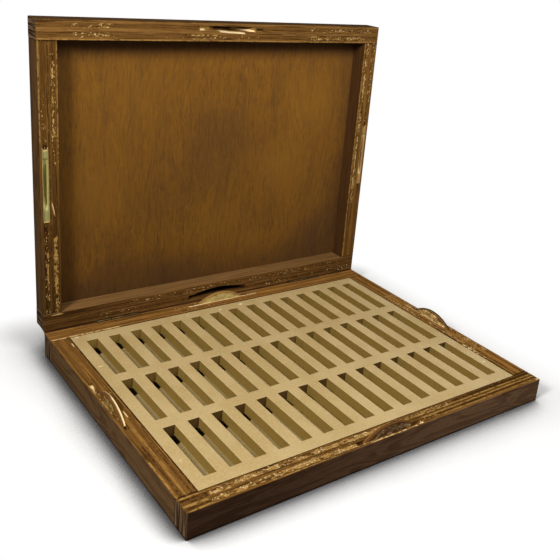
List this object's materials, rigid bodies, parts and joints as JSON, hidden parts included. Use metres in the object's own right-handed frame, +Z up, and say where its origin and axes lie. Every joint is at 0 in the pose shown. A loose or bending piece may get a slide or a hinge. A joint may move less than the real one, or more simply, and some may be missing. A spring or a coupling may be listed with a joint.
{
  "type": "bullion storage box",
  "caption": "Flat hinged wooden case with a slotted board in its base that holds small bars on edge, and a framed lid that stops upright.",
  "frame": {"origin": "centre of the underside", "axes": "+X to the right along the front edge, +Y towards the hinges at the back, +Z up"},
  "size_m": [0.383, 0.3185, 0.3205],
  "materials": {
    "stained_plywood": "stained, open grained",
    "panel_plywood": "stained, satin",
    "fibreboard": "raw, matt",
    "biscuit_wood": "pressed, stained",
    "dowel_wood": "raw",
    "brass": "satin"
  },
  "bodies": {
    "base": {"base_front_rail": "stained_plywood", "base_back_rail": "stained_plywood", "base_left_rail": "stained_plywood", "base_right_rail": "stained_plywood", "bottom_panel": "panel_plywood", "backing_board": "fibreboard", "slotted_insert": "fibreboard", "front_biscuit": "biscuit_wood", "back_biscuit": "biscuit_wood", "left_biscuit": "biscuit_wood", "right_biscuit": "biscuit_wood", "base_dowels": "dowel_wood", "base_leaf_screws": "brass", "left_hinge_base_leaf": "brass", "right_hinge_base_leaf": "brass", "left_hinge_pin": "brass", "right_hinge_pin": "brass"},
    "lid": {"lid_front_rail": "stained_plywood", "lid_back_rail": "stained_plywood", "lid_left_rail": "stained_plywood", "lid_right_rail": "stained_plywood", "lid_panel": "panel_plywood", "lid_dowels": "dowel_wood", "lid_leaf_screws": "brass", "left_hinge_lid_leaf": "brass", "right_hinge_lid_leaf": "brass"}
  },
  "joints": [
    {"name": "lid_hinge", "type": "hinge", "parent": "base", "child": "lid", "pos_m": [0, 0.1488, 0.02365], "axis": [1, 0, 0], "range_deg": [0, 90]}
  ]
}
